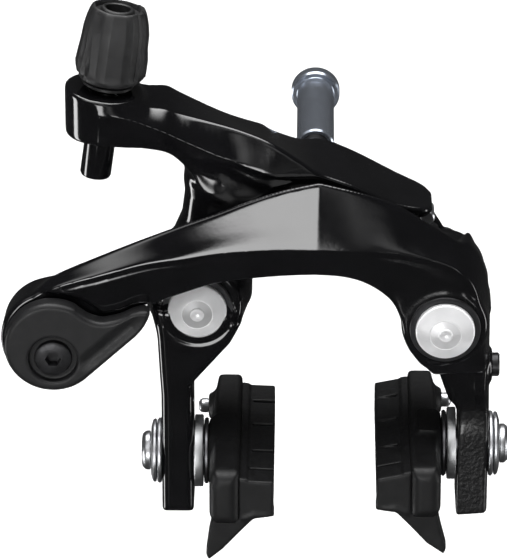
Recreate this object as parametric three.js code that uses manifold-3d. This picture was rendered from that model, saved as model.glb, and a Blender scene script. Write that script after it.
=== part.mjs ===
// Dual-pivot rim brake caliper for a road bicycle, seen from the front of the bicycle.
// Millimetres. +Z is up, +Y points back into the fork crown, +X is to the right.
// The origin lies on the mounting bolt's axis, on the face that meets the fork crown.
import * as THREE from 'three';
import { mergeVertices } from 'three/addons/utils/BufferGeometryUtils.js';
import Module from 'manifold-3d';

const wasm = await Module();
wasm.setup();

// ---------------------------------------------------------------- driving dimensions
const GAP = 0.2; // between pieces that touch
const ROUND = 20; // sides on a round piece
const DEG = Math.PI / 180;

const PIVOT_L = { x: -24.4, z: -12.8 };
const PIVOT_R = { x: 26.8, z: -12.8 };
const AXLE_R = 3.95;
const AXLE_END_R = 3;
const BUSH_R = 5.1;
const HUB_REAR = -10.4;
const HUB_L = { front: -31.6, r: 9 };
const HUB_R = { front: -40.6, r: 9.5 };
const CAP_R = 6.1;
const CAP_RISE = 1.9;

const BRACKET = { front: -9.6, rear: -2.9, hub: 7.8, centre: 10.2 };
const BOLT_R = 3;
const SERRATED = { r: 8.5, thick: 2.7 };
const NUT = { r: 4.05, headR: 5.35, front: 21.4, flange: 49.4, rear: 52.4 };

const Y_FRONT = -28.6; // front of the rear arm's stem
const Y_REAR = -14.2;
const C_BACK = -30.2; // back of the front arm's plate
const C_FRONT = -41;
const TOP_FALL = 4.4; // how far the front arm's top slopes down to its back

const LEG = { thick: 6.6, front: -33.5, rear: -20.5, bottom: -60.4 };
const LEG_L = -25.4; // inner face of the left leg
const LEG_R = 30; // inner face of the right leg
const SHOE_Y = -27;
const SHOE_L_Z = -49.2;
const SHOE_R_Z = -47.5;
const SLOT = { top: -39, bottom: -51, r: 3.2 };

const ADJUST = { x: -43.6, y: -25, z: 28.2, lean: 7.9 * DEG };
const BOSS = { x: -43.5, r: 8, bottom: 24.6, top: 34, bore: 3.5 };
const BARREL_R = 3.2;
const KNOB = { bottom: 8.1, top: 25.4, lobes: 8, seat: 3.15, seatDepth: 5 };

const LEVER_AXLE = { x: -54, z: -19.6 };
const LEVER = { front: -42.7, rear: -38.4, x: -54.1, z: -16.9, r: 10 };
const LUG = { x: -54, z: -17.2, r: 11, front: -38.1, rear: -29.2 };
const CLAMP = { x: -56.3, z: -20.9, r: 2.5, split: -27.6 };

const LINK = { x: 23.2, z: 4.6, r: 1.5 };
const OPEN = 3.5; // degrees that each arm opens from rest
const CENTRING = { y: -30, z: -26.4, tip: 30.6, head: 38.6 };

// ---------------------------------------------------------------- materials
const finish = (color, roughness, metalness) =>
  new THREE.MeshStandardMaterial({ color, roughness, metalness });
const blackPaint = finish(0x08080a, 0.2, 0.3);
const darkMetal = finish(0x3a3a3c, 0.45, 0.8);
const bareAlloy = finish(0xc9cacc, 0.3, 1);
const zincSteel = finish(0x8f959e, 0.35, 1);
const blackSteel = finish(0x1d1d1f, 0.45, 0.8);
const blackPlastic = finish(0x1b1b1c, 0.55, 0);
const padRubber = finish(0x232324, 0.85, 0);
const bushPlastic = finish(0x6b5a3a, 0.5, 0);

// ---------------------------------------------------------------- making and placing solids
const caliper = new THREE.Group();

// A closed geometry becomes a solid with its faces pointing outwards.
function solid(geometry) {
  const bare = geometry.clone();
  bare.deleteAttribute('normal');
  bare.deleteAttribute('uv');
  const merged = mergeVertices(bare, 1e-4);
  const places = new Float32Array(merged.attributes.position.array);
  const corners = new Uint32Array(merged.index.array);
  if (signedVolume(places, corners) < 0) {
    for (let i = 0; i < corners.length; i += 3) {
      [corners[i], corners[i + 1]] = [corners[i + 1], corners[i]];
    }
  }
  return new wasm.Manifold(new wasm.Mesh({ numProp: 3, vertProperties: places, triVerts: corners }));
}

function signedVolume(places, corners) {
  const a = new THREE.Vector3();
  const b = new THREE.Vector3();
  const c = new THREE.Vector3();
  let total = 0;
  for (let i = 0; i < corners.length; i += 3) {
    a.fromArray(places, corners[i] * 3);
    b.fromArray(places, corners[i + 1] * 3);
    c.fromArray(places, corners[i + 2] * 3);
    total += a.dot(b.cross(c));
  }
  return total;
}

function join(...pieces) {
  return pieces.reduce((whole, piece) => whole.add(piece));
}

function cut(body, ...tools) {
  return tools.reduce((whole, tool) => whole.subtract(tool), body);
}

function add(name, piece, material) {
  const mesh = piece.getMesh();
  const geometry = new THREE.BufferGeometry();
  geometry.setAttribute('position', new THREE.BufferAttribute(new Float32Array(mesh.vertProperties), 3));
  geometry.setIndex(new THREE.BufferAttribute(new Uint32Array(mesh.triVerts), 1));
  geometry.computeVertexNormals();
  const node = new THREE.Mesh(geometry, material);
  node.name = name;
  caliper.add(node);
}

// A profile of [radius, distance] pairs turned about an axis: 'x', 'y' or 'z'.
function turned(profile, axis = 'y', sides = ROUND) {
  const points = profile.map(([r, along]) => new THREE.Vector2(r, along));
  const geometry = new THREE.LatheGeometry(points, sides);
  if (axis === 'x') geometry.rotateZ(-Math.PI / 2);
  if (axis === 'z') geometry.rotateX(Math.PI / 2);
  return geometry;
}

function rod(r, from, to, axis = 'y', sides = ROUND) {
  return turned([[0, from], [r, from], [r, to], [0, to]], axis, sides);
}

function ring(inner, outer, from, to, axis = 'y', sides = ROUND) {
  return turned([[inner, from], [outer, from], [outer, to], [inner, to], [inner, from]], axis, sides);
}

// A round piece along Y, at x and z.
const rodY = (r, front, rear, at, sides) => solid(rod(r, front, rear, 'y', sides).translate(at.x, 0, at.z));
const ringY = (inner, outer, front, rear, at) => solid(ring(inner, outer, front, rear).translate(at.x, 0, at.z));

function box(x0, x1, y0, y1, z0, z1) {
  const geometry = new THREE.BoxGeometry(x1 - x0, y1 - y0, z1 - z0);
  return solid(geometry.translate((x0 + x1) / 2, (y0 + y1) / 2, (z0 + z1) / 2));
}

// An outline in the X-Z plane, given depth from front to rear along Y.
function plate(outline, front, rear, bevel = 0) {
  const shape = Array.isArray(outline)
    ? new THREE.Shape(outline.map(([x, z]) => new THREE.Vector2(x, z)))
    : outline;
  const geometry = new THREE.ExtrudeGeometry(shape, {
    depth: rear - front - 2 * bevel,
    bevelEnabled: bevel > 0,
    bevelThickness: bevel,
    bevelSize: bevel,
    bevelOffset: -bevel,
    bevelSegments: 1,
    curveSegments: 8,
  });
  return solid(geometry.rotateX(Math.PI / 2).translate(0, rear - bevel, 0));
}

// A skin over rings of equal point counts, closed by a fan at each end.
function loft(rings) {
  const count = rings[0].length;
  const places = rings.flat(2);
  const middle = (points) => [0, 1, 2].map((k) => points.reduce((sum, p) => sum + p[k], 0) / count);
  const faces = [];
  for (let i = 0; i + 1 < rings.length; i += 1) {
    for (let j = 0; j < count; j += 1) {
      const a = i * count + j;
      const b = i * count + ((j + 1) % count);
      faces.push(a, b, a + count, b, b + count, a + count);
    }
  }
  const first = places.length / 3;
  places.push(...middle(rings[0]), ...middle(rings[rings.length - 1]));
  const start = (rings.length - 1) * count;
  for (let j = 0; j < count; j += 1) {
    const next = (j + 1) % count;
    faces.push(first, next, j);
    faces.push(first + 1, start + j, start + next);
  }
  const geometry = new THREE.BufferGeometry();
  geometry.setAttribute('position', new THREE.Float32BufferAttribute(places, 3));
  geometry.setIndex(faces);
  return solid(geometry);
}

function hexRod(acrossFlats, front, rear, at) {
  return rodY(acrossFlats / Math.sqrt(3), front, rear, at, 6);
}

// ---------------------------------------------------------------- bracket and mounting hardware
const CENTRE = { x: 0, z: 0 };

function bracket() {
  const web = [
    [-31.6, -16], [-30, -9.5], [-24.5, -5.4], [-9, 9], [-4, 12.4], [4, 12.4], [9, 9.4],
    [23.6, 1], [28.6, -5], [33, -9.4], [33.8, -16], [20, -17], [13, -8.6], [6, -6.4], [-4, -6.4],
    [-11, -8.6], [-18, -17],
  ];
  const body = join(
    plate(web, BRACKET.front, BRACKET.rear),
    rodY(BRACKET.hub, BRACKET.front, BRACKET.rear, PIVOT_L),
    rodY(BRACKET.hub, BRACKET.front, BRACKET.rear, PIVOT_R),
    rodY(BRACKET.centre, BRACKET.front, BRACKET.rear, CENTRE),
  );
  return cut(
    body,
    rodY(BOLT_R + 0.15, -20, 5, CENTRE),
    rodY(AXLE_END_R + 0.15, -20, 5, PIVOT_L),
    rodY(AXLE_END_R + 0.15, -20, 5, PIVOT_R),
  );
}

function mountingBolt() {
  const head = { front: BRACKET.front - 3.2, r: 6 };
  const body = turned([
    [0, head.front], [head.r - 0.6, head.front], [head.r, head.front + 0.6],
    [head.r, BRACKET.front - GAP], [BOLT_R, BRACKET.front - GAP], [BOLT_R, 34], [BOLT_R - 0.7, 35], [0, 35],
  ]);
  return cut(solid(body), hexRod(4, head.front - 1, head.front + 2.4, CENTRE));
}

function sleeveNut() {
  const body = turned([
    [BOLT_R + 0.1, NUT.front], [NUT.r - 0.4, NUT.front], [NUT.r, NUT.front + 0.4], [NUT.r, NUT.flange],
    [NUT.headR - 0.2, NUT.flange], [NUT.headR, NUT.flange + 0.6], [NUT.headR, NUT.rear - 0.6],
    [NUT.headR - 0.5, NUT.rear], [2.9, NUT.rear], [2.9, 42], [BOLT_R + 0.1, 40], [BOLT_R + 0.1, NUT.front],
  ]);
  return solid(body);
}

function serratedWasher() {
  const teeth = 18;
  const outline = new THREE.Shape();
  for (let i = 0; i < teeth * 2; i += 1) {
    const r = i % 2 ? SERRATED.r - 0.45 : SERRATED.r;
    const turn = (i * Math.PI) / teeth;
    const [x, z] = [r * Math.cos(turn), r * Math.sin(turn)];
    if (i === 0) outline.moveTo(x, z);
    else outline.lineTo(x, z);
  }
  return cut(plate(outline, -SERRATED.thick, 0), rodY(BOLT_R + 0.2, -10, 10, CENTRE));
}

// The pivot bolt: a shallow coned head in front, a bearing length and a thinner threaded end.
function pivotBolt(at, hubFront) {
  const seat = hubFront - 0.9;
  const rim = seat - 0.9;
  const tip = rim - CAP_RISE;
  const body = turned([
    [0, tip + 0.35], [0.9, tip + 0.1], [1.3, tip], [3.2, tip + 0.25], [3.3, tip + 0.45], [CAP_R - 0.25, rim],
    [CAP_R, rim + 0.25], [CAP_R, seat], [AXLE_R, seat], [AXLE_R, BRACKET.front - GAP],
    [AXLE_END_R, BRACKET.front - GAP], [AXLE_END_R, -0.9], [0, -0.9],
  ]);
  return solid(body.translate(at.x, 0, at.z));
}

// A bent wire behind the arms, held at its middle and bearing on each arm.
function returnSpring() {
  const path = new THREE.CatmullRomCurve3([
    new THREE.Vector3(-21.5, -12.3, 2.5), new THREE.Vector3(-15.5, -12.3, -2.5),
    new THREE.Vector3(-9, -12.3, -7), new THREE.Vector3(0, -14.4, -8.2),
    new THREE.Vector3(9, -12.3, -7), new THREE.Vector3(15.5, -12.3, -3), new THREE.Vector3(20.5, -12.3, 0.6),
  ]);
  const section = new THREE.Shape();
  section.absarc(0, 0, 0.8, 0, Math.PI * 2);
  return solid(new THREE.ExtrudeGeometry(section, {
    steps: 20, curveSegments: 3, extrudePath: path,
  }));
}

function springHolder() {
  const body = box(-4.5, 4.5, -16.6, BRACKET.front - GAP, -10, -6.3);
  return cut(body, box(-6, 6, -15.6, -11.2, -9.5, -6.8));
}

function addBracketParts() {
  add('bracket', bracket(), blackPaint);
  add('mounting_bolt', mountingBolt(), blackSteel);
  add('sleeve_nut', sleeveNut(), zincSteel);
  add('serrated_washer', serratedWasher(), zincSteel);
  add('return_spring', returnSpring(), zincSteel);
  add('spring_holder', springHolder(), blackPlastic);
  const sides = [['left', PIVOT_L, HUB_L.front], ['right', PIVOT_R, HUB_R.front]];
  for (const [side, at, hubFront] of sides) {
    add(`${side}_pivot_bolt`, pivotBolt(at, hubFront), bareAlloy);
    add(`${side}_pivot_washer`, ringY(AXLE_R + 0.1, CAP_R + 0.9, hubFront - 0.7, hubFront - 0.1, at), blackSteel);
    add(`${side}_pivot_bush`, ringY(AXLE_R + 0.05, BUSH_R, hubFront + GAP, HUB_REAR - GAP, at), bushPlastic);
    add(`${side}_pivot_nut`, ringY(AXLE_END_R + 0.1, 5.6, -2.7, -0.7, at), blackSteel);
  }
}

// ---------------------------------------------------------------- legs that carry the shoes
// The long hole that lets a shoe's bolt be set higher or lower.
function shoeSlot(x) {
  const reach = 10;
  const round = (z) => solid(rod(SLOT.r, -reach, reach, 'x').translate(x, SHOE_Y, z));
  const middle = box(x - reach, x + reach, SHOE_Y - SLOT.r, SHOE_Y + SLOT.r, SLOT.bottom, SLOT.top);
  return join(round(SLOT.top), round(SLOT.bottom), middle);
}

// ---------------------------------------------------------------- rear arm
// The rear arm's upper beam: ring order is top rear, top front, front ridge, bottom front, bottom rear.
function upperBeam() {
  return loft([
    [[-44, -18.6, 33], [-44, -31.4, 33], [-44, -32.6, 31.8], [-44, -31.4, 24.6], [-44, -19, 24.6]],
    [[-34.5, -18, 31.9], [-34.5, -28, 31], [-34.5, -32, 28.8], [-34.5, -30, 22.4], [-34.5, -18, 22.4]],
    [[-30.8, -17, 31.4], [-30.8, -27.6, 30.2], [-30.8, -31.6, 27], [-30.8, -29.8, 21.4], [-30.8, -17, 21.4]],
    [[-28, -16, 29.3], [-28, -27, 29.1], [-28, -31, 25.4], [-28, -29.5, 19.6], [-28, -16, 19.6]],
    [[-22, -14, 25.2], [-22, -27, 27.4], [-22, -30, 22.2], [-22, -28.6, 12], [-22, -14, 12]],
    [[-15.8, -13, 21.8], [-15.8, -27, 25.6], [-15.8, -29.5, 18.9], [-15.8, -28.6, 9], [-15.8, -13, 9]],
    [[-9.6, -11.5, 18.9], [-9.6, -28, 23.4], [-9.6, -29, 16.7], [-9.6, -28.4, 8.8], [-9.6, -12, 8.8]],
    [[-3.6, -10.2, 16.3], [-3.6, -28.6, 19.6], [-3.6, -29, 16.2], [-3.6, -28.4, 9.4], [-3.6, -11, 9.4]],
    [[1, -9.8, 16.2], [1, -28.8, 16.6], [1, -29, 16], [1, -28.4, 9.2], [1, -11, 9.2]],
    [[7.6, -10.4, 13.9], [7.6, -28.8, 13.8], [7.6, -29, 13.2], [7.6, -28.4, 7.6], [7.6, -11, 7.6]],
    [[16.6, -12.4, 9.9], [16.6, -28.4, 9.6], [16.6, -28.6, 9.2], [16.6, -28, 5.6], [16.6, -13, 5.6]],
    [[24.2, -16.6, 7.6], [24.2, -25.8, 7.6], [24.2, -26, 7.2], [24.2, -25.6, 5.2], [24.2, -17, 5.2]],
  ]);
}

function rearArm() {
  const stem = [
    [-28.2, 20.4], [-25.8, 15], [-25.4, 10.5], [-25.8, 4.5], [-29, -2], [-33, -9.6], [-33.4, -14],
    [-24, -21], [-14.6, -12.8], [-14.3, -8], [-13.6, 1], [-10.5, 9.2], [-12, 20],
  ];
  const leg = [
    [-33.3, -12], [-32.5, -28], [-32, -31], [-32, LEG.bottom], [LEG_L, LEG.bottom], [LEG_L, -31],
    [-24.6, -28.4], [-18, -20.2], [-15.6, -15.9], [-24.4, -12.8],
  ];
  const body = join(
    upperBeam(),
    solid(rod(BOSS.r, BOSS.bottom, BOSS.top, 'z').translate(BOSS.x, ADJUST.y, 0)),
    plate(stem, Y_FRONT, Y_REAR, 0.8),
    rodY(HUB_L.r, HUB_L.front, HUB_REAR, PIVOT_L),
    plate(leg, LEG.front, LEG.rear, 1),
  );
  const capWell = rodY(CAP_R + 1.4, -40, HUB_L.front, PIVOT_L);
  const bore = rodY(BUSH_R + 0.1, -40, 0, PIVOT_L);
  const link = rodY(LINK.r + 0.1, -24.6, -18.4, LINK);
  return cut(body, capWell, bore, shoeSlot(LEG_L - LEG.thick / 2), onAdjuster(rod(BOSS.bore, -9, 12, 'z')), link);
}

// Moves a piece that was turned about Z onto the cable adjuster's leaning axis.
function onAdjuster(geometry) {
  return solid(geometry.rotateY(ADJUST.lean).translate(ADJUST.x, ADJUST.y, ADJUST.z));
}

function adjusterBarrel() {
  return onAdjuster(turned([
    [1.3, -13.8], [BARREL_R - 0.5, -13.8], [BARREL_R, -13.3], [BARREL_R, 17.8], [2.6, 18.2],
    [1.3, 18.2], [1.3, -13.8],
  ], 'z'));
}

// The knob: fluted outside, stepped bore inside, with a seat for the cable's outer casing on top.
function adjusterKnob() {
  const steps = KNOB.lobes * 4;
  const heights = [[0, 5.4], [1.4, 6.4], [4, 7.1], [12, 7], [16, 6.2], [KNOB.top - KNOB.bottom, 4.8]];
  const rings = heights.map(([up, r]) => {
    const around = [];
    for (let i = 0; i < steps; i += 1) {
      const turn = (i * 2 * Math.PI) / steps;
      const flute = up > 1 && up < 16.5 ? 0.35 * Math.max(0, Math.cos(KNOB.lobes * turn)) : 0;
      around.push([(r - flute) * Math.cos(turn), (r - flute) * Math.sin(turn), KNOB.bottom + up]);
    }
    return around;
  });
  const lean = (piece) => piece.rotate([0, ADJUST.lean / DEG, 0]).translate([ADJUST.x, ADJUST.y, ADJUST.z]);
  const bore = onAdjuster(rod(BARREL_R + 0.1, 0, KNOB.top - KNOB.seatDepth, 'z'));
  const seat = onAdjuster(rod(KNOB.seat, KNOB.top - KNOB.seatDepth - 0.5, KNOB.top + 1, 'z'));
  return cut(lean(loft(rings)), bore, seat);
}

function addRearArm() {
  add('rear_arm', rearArm(), blackPaint);
  add('link_pin', rodY(LINK.r, -24.4, -18.6, LINK), zincSteel);
  add('adjuster_barrel', adjusterBarrel(), blackSteel);
  add('adjuster_knob', adjusterKnob(), blackPlastic);
  add('adjuster_seal', onAdjuster(ring(BARREL_R + 0.2, 5.4, 6.9, 7.8, 'z')), blackPlastic);
}

// ---------------------------------------------------------------- front arm
// The front arm's beam: ring order is top edge, ridge, lower bevel, bottom front, bottom rear, top rear.
function frontBeam() {
  const stations = [
    // top x, z, y, then ridge x, z, then bottom x, z
    [-58, -6.5, -37, -58, -7.6, -57, -13],
    [-53.5, -2.8, -37, -53, -4.6, -52, -14],
    [-44.2, 1.9, -38, -44, -1.7, -44.3, -13.2],
    [-35.5, 5.8, -38, -35, 0.9, -34, -8.6],
    [-27.3, 9.2, -38, -27, 2, -27, -5.7],
    [-20.4, 11.9, -38, -20, 3.2, -20.2, -3.3],
    [-13.8, 14.7, -38, -13.6, 3.9, -13.6, -2.2],
    [-6.8, 17.3, -38, -6.8, 4.4, -6.6, -1.4],
    [0.6, 19.3, -38, 0, 4.6, 0, -1],
    [7, 17.5, -38, 6.6, 4.5, 6, -1.6],
    [12, 15.7, -37.6, 11.6, 4.3, 11, -3.4],
    [17, 13.4, -37, 17.3, 3.9, 15.6, -6.8],
    [23.4, 9, -36.4, 23, 2.9, 17.8, -11.4],
    [28.2, 5, -35.6, 28, 1.2, 20, -16],
    [31.6, 3.6, -34.6, 31, -1, 23, -18],
    [35.2, -3, -34, 33.8, -6, 27, -19],
  ];
  return loft(stations.map(([topX, topZ, topY, ridgeX, ridgeZ, lowX, lowZ]) => [
    [topX, topY, topZ],
    [ridgeX, C_FRONT, ridgeZ],
    [ridgeX, C_FRONT + 0.3, ridgeZ - 1.2],
    [lowX, C_FRONT + 1.5, lowZ],
    [lowX, C_BACK, lowZ],
    [topX, C_BACK, topZ - TOP_FALL],
  ]));
}

function leverOutline() {
  const shape = new THREE.Shape();
  shape.absarc(LEVER.x, LEVER.z, LEVER.r, -50 * DEG, 95 * DEG, true);
  shape.quadraticCurveTo(-51.6, -6.6, -49.3, -8.2);
  shape.quadraticCurveTo(-46.6, -11, -43.6, -11.1);
  shape.quadraticCurveTo(-40, -10.6, -38, -9.2);
  shape.quadraticCurveTo(-34, -7.6, -33.9, -9.4);
  shape.quadraticCurveTo(-35, -13, -38.1, -15.6);
  shape.closePath();
  return shape;
}

// Room behind the front arm for the left hub and its bolt, as far as the arm opens.
function hubRelief() {
  const steps = 3;
  const reach = PIVOT_R.x - PIVOT_L.x;
  const places = Array.from({ length: steps + 1 }, (_, i) => {
    const turn = (i / steps) * (OPEN + 0.4) * DEG;
    return { x: PIVOT_R.x - reach * Math.cos(turn), z: PIVOT_R.z + reach * Math.sin(turn) };
  });
  const hubs = places.map((at) => rodY(HUB_L.r + 0.5, LEG.front - 0.4, 0, at));
  const heads = places.map((at) => rodY(CAP_R + 1.3, HUB_L.front - 4.3, 0, at));
  return join(...hubs, ...heads);
}

function frontArm() {
  const across = new THREE.Vector2(0.62, -0.784); // along the face that the rear arm's pin slides on
  const onFace = (t) => [21.3 + across.x * t, 3.9 + across.y * t];
  const shoulder = [
    onFace(1.6), onFace(9.4), [30, -5.6], [34.4, -8.4], [36.4, -12.8], [26.8, -12.8], [18.2, -9], [19.2, -4],
  ];
  const legUpper = [
    [17.8, -12], [19.2, -18.1], [20.9, -20], [24.6, -25.8], [28.4, -33.6], [30, -37.4],
    [36.6, -37.4], [36.6, -12],
  ];
  const outer = LEG_R + LEG.thick;
  const body = join(
    frontBeam(),
    rodY(LUG.r, LUG.front, LUG.rear, LUG),
    rodY(HUB_R.r, HUB_R.front, HUB_REAR, PIVOT_R),
    plate(shoulder, C_BACK - 1, -14.2, 0.5),
    plate(legUpper, -37.4, LEG.rear, 1),
    plate([[LEG_R, -30], [LEG_R, LEG.bottom], [outer, LEG.bottom], [outer, -30]], LEG.front, LEG.rear, 1),
  );
  const sweep = rodY(13.5, -50, LUG.front, LEVER_AXLE, 40);
  const below = box(-80, -43, -50, LUG.front, -40, -12);
  const leverRoom = plate(leverOutline(), -50, LUG.front);
  const roomier = join(leverRoom.translate([0.5, 0, 0.5]), leverRoom.translate([-0.2, 0, 0.5]), sweep, below);
  return cut(
    body,
    roomier,
    hubRelief(),
    rodY(CAP_R + 1.5, -60, HUB_R.front, PIVOT_R),
    rodY(BUSH_R + 0.1, -60, 0, PIVOT_R),
    rodY(2.6, -60, 0, LEVER_AXLE),
    shoeSlot(LEG_R + LEG.thick / 2),
    solid(rod(1.7, 30, 45, 'x').translate(0, CENTRING.y, CENTRING.z)),
  );
}

function centringScrew() {
  const body = turned([
    [0, CENTRING.tip], [1.6, CENTRING.tip], [1.6, 36.9], [2.5, 36.9], [2.5, 38.2], [2.1, CENTRING.head],
    [0, CENTRING.head],
  ], 'x', 20);
  const socket = rod(1.1, 37.4, 40, 'x', 6);
  return cut(solid(body), solid(socket)).translate([0, CENTRING.y, CENTRING.z]);
}

function releaseLever() {
  const body = plate(leverOutline(), LEVER.front, LEVER.rear, 0.7);
  return cut(body, rodY(5, -50, LEVER.front + 1.6, LEVER_AXLE), rodY(2.4, -50, 0, LEVER_AXLE));
}

function leverScrew() {
  const front = LEVER.front + 0.35;
  const body = turned([
    [0, front], [3.6, front], [4, front + 0.4], [4, LEVER.front + 1.4], [1.5, LEVER.front + 1.4],
    [1.5, LEVER.front + 4], [0, LEVER.front + 4],
  ]);
  return cut(solid(body.translate(LEVER_AXLE.x, 0, LEVER_AXLE.z)), hexRod(2.5, front - 1, front + 0.9, LEVER_AXLE));
}

function leverAxle() {
  const body = rodY(2.3, LEVER.front + 1.9, CLAMP.split - GAP, LEVER_AXLE);
  return cut(body, rodY(1.6, -50, LEVER.front + 4.4, LEVER_AXLE));
}

// The eccentric plate behind the arm that lifts the cable clamp when the lever is opened.
function clampCarrier() {
  const [front, rear] = [LUG.rear + GAP, -26];
  const body = join(rodY(5, front, rear, LEVER_AXLE), rodY(5.4, front, rear, CLAMP));
  return cut(body, rodY(2.4, -40, CLAMP.split, LEVER_AXLE), rodY(CLAMP.r + 0.1, CLAMP.split, 0, CLAMP));
}

function cableBolt() {
  const body = turned([
    [0, CLAMP.split + GAP], [CLAMP.r, CLAMP.split + GAP], [CLAMP.r, -22.4], [4, -22.4], [4, -18.8],
    [3.5, -18.3],
    [0, -18.3],
  ]);
  return cut(solid(body.translate(CLAMP.x, 0, CLAMP.z)), hexRod(4, -21, -15, CLAMP));
}

function cablePlate() {
  const outline = [[-60.4, -25.4], [-52.4, -25.4], [-51.2, -24.2], [-51.2, -17.6], [-52.4, -16.4], [-60.4, -16.4]];
  return cut(plate(outline, -24.3, -22.6, 0.3), rodY(CLAMP.r + 0.1, -30, 0, CLAMP));
}

function addFrontArm() {
  add('front_arm', frontArm(), blackPaint);
  add('centring_screw', centringScrew(), blackSteel);
  add('release_lever', releaseLever(), darkMetal);
  add('lever_screw', leverScrew(), blackSteel);
  add('lever_axle', leverAxle(), zincSteel);
  add('clamp_carrier', clampCarrier(), blackSteel);
  add('cable_clamp_bolt', cableBolt(), zincSteel);
  add('cable_clamp_plate', cablePlate(), zincSteel);
}

// ---------------------------------------------------------------- brake shoes
// A shoe is drawn pointing inwards along +X, with x = 0 on the leg's inner face; the right one is mirrored.
const SHOE = { start: 3.4, holder: 6.4, pad: 7.2, front: -21.6, rear: 26, half: 5.5 };
const PAD = { front: -20, rear: 23.8, half: 3.7, root: 4.4 };
const PAD_SCREW_Y = 21.5;

// A piece along Y whose cross-section is an outline in X and Z.
function bar(outline, front, rear, bevel = 0) {
  return plate(outline, front, rear, bevel);
}

function shoeHolder() {
  const [x0, x1] = [SHOE.start, SHOE.start + SHOE.holder];
  const outline = [
    [x0, -2.6], [x0, 2.6], [x0 + 2.4, SHOE.half], [x1 - 0.6, SHOE.half], [x1 - GAP, SHOE.half - 0.6],
    [x1 - GAP, 0.6 - SHOE.half], [x1 - 0.6, -SHOE.half], [x0 + 2.4, -SHOE.half],
  ];
  const body = bar(outline, SHOE.front, SHOE.rear, 0.8);
  const boltHole = solid(rod(2.7, x0 - 1, x0 + 4.4, 'x'));
  const screwHole = solid(rod(1.5, x0 - 2, x0 + 3.6, 'x', 12).translate(0, PAD_SCREW_Y, 0));
  return cut(body, boltHole, screwHole);
}

// The pad, with its curved rim guide reaching below the front end and grooves that clear water.
function brakePad() {
  const [x0, x1] = [SHOE.start + SHOE.holder, SHOE.start + SHOE.holder + SHOE.pad];
  const section = [
    [x0, -PAD.root], [x0, PAD.root], [x0 + 1.8, PAD.half], [x1, PAD.half], [x1, -PAD.half],
    [x0 + 1.8, -PAD.half],
  ];
  const fin = [
    [3.3, -12.2], [3.6, -13.2], [6.4, -10.8], [9.9, -7], [12.6, -3.4], [x0 + 0.4, -3.4], [x0 + 0.2, -5.8],
    [3.9, -5.8], [3.3, -8.5],
  ];
  const grooves = [-9, 2, 14].map((y) => box(x1 - 1.4, x1 + 1, y - 0.5, y + 0.5, -10, 10));
  const body = join(bar(section, PAD.front, PAD.rear), bar(fin, PAD.front, PAD.front + 4));
  return cut(body, ...grooves);
}

function dishedWasher(inner, outer, from, to, dish) {
  return solid(turned([
    [inner, from], [outer - dish, from], [outer, from + dish], [outer, to], [inner, to], [inner, from],
  ], 'x'));
}

function knurledWasher() {
  const ridges = 20;
  const outline = new THREE.Shape();
  for (let i = 0; i < ridges * 2; i += 1) {
    const r = i % 2 ? 7.3 : 7.65;
    const turn = (i * Math.PI) / ridges;
    if (i === 0) outline.moveTo(r, 0);
    else outline.lineTo(r * Math.cos(turn), r * Math.sin(turn));
  }
  const geometry = new THREE.ExtrudeGeometry(outline, { depth: 1.8, bevelEnabled: false });
  return cut(solid(geometry.rotateY(Math.PI / 2).translate(GAP, 0, 0)), solid(rod(2.75, -2, 5, 'x')));
}

function shoeBolt() {
  const head = -LEG.thick - 2.6;
  const body = turned([
    [0, head - 1.8], [3.4, head - 1.8], [4.15, head - 1], [4.15, head], [2.5, head],
    [2.5, SHOE.start + 4], [0, SHOE.start + 4],
  ], 'x');
  const socket = new THREE.CylinderGeometry(2.3, 2.3, 2, 6).rotateZ(Math.PI / 2).translate(head - 1.6, 0, 0);
  return cut(solid(body), solid(socket));
}

function padScrew() {
  const body = turned([
    [0, 0.6], [1.9, 0.6], [2.2, 0.9], [2.2, 2.4], [1.3, 2.4], [1.3, SHOE.start + 2.6], [0, SHOE.start + 2.6],
  ], 'x', 16);
  return solid(body.translate(0.6, PAD_SCREW_Y, 0));
}

function addShoe(side, legFace, height, inward) {
  const place = (piece) => {
    const facing = inward > 0 ? piece : piece.mirror([1, 0, 0]);
    return facing.translate([legFace, SHOE_Y, height]);
  };
  const outer = -LEG.thick;
  add(`${side}_shoe_bolt`, place(shoeBolt()), zincSteel);
  add(`${side}_outer_seat_washer`, place(dishedWasher(2.7, 6.7, outer - 2.4, outer - 1.3, 0.4)), zincSteel);
  add(`${side}_outer_cup_washer`, place(dishedWasher(2.75, 6.9, outer - 1.1, outer - GAP, 0.3)), blackSteel);
  add(`${side}_inner_seat_washer`, place(knurledWasher()), zincSteel);
  add(`${side}_inner_cup_washer`, place(dishedWasher(2.75, 6.4, 2.2, 3.1, 0.4)), blackSteel);
  add(`${side}_shoe_holder`, place(shoeHolder()), blackPaint);
  add(`${side}_brake_pad`, place(brakePad()), padRubber);
  add(`${side}_pad_screw`, place(padScrew()), zincSteel);
}

addBracketParts();
addRearArm();
addFrontArm();
addShoe('left', LEG_L, SHOE_L_Z, 1);
addShoe('right', LEG_R, SHOE_R_Z, -1);

export default caliper;
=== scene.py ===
"""A dual-pivot rim brake caliper in a plain studio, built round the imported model.

Shapes are in millimetres, and lights and the camera in metres.
"""

import math

import bmesh
import bpy
import numpy as np
import openvdb as vdb
from mathutils import Matrix, Vector


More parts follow.
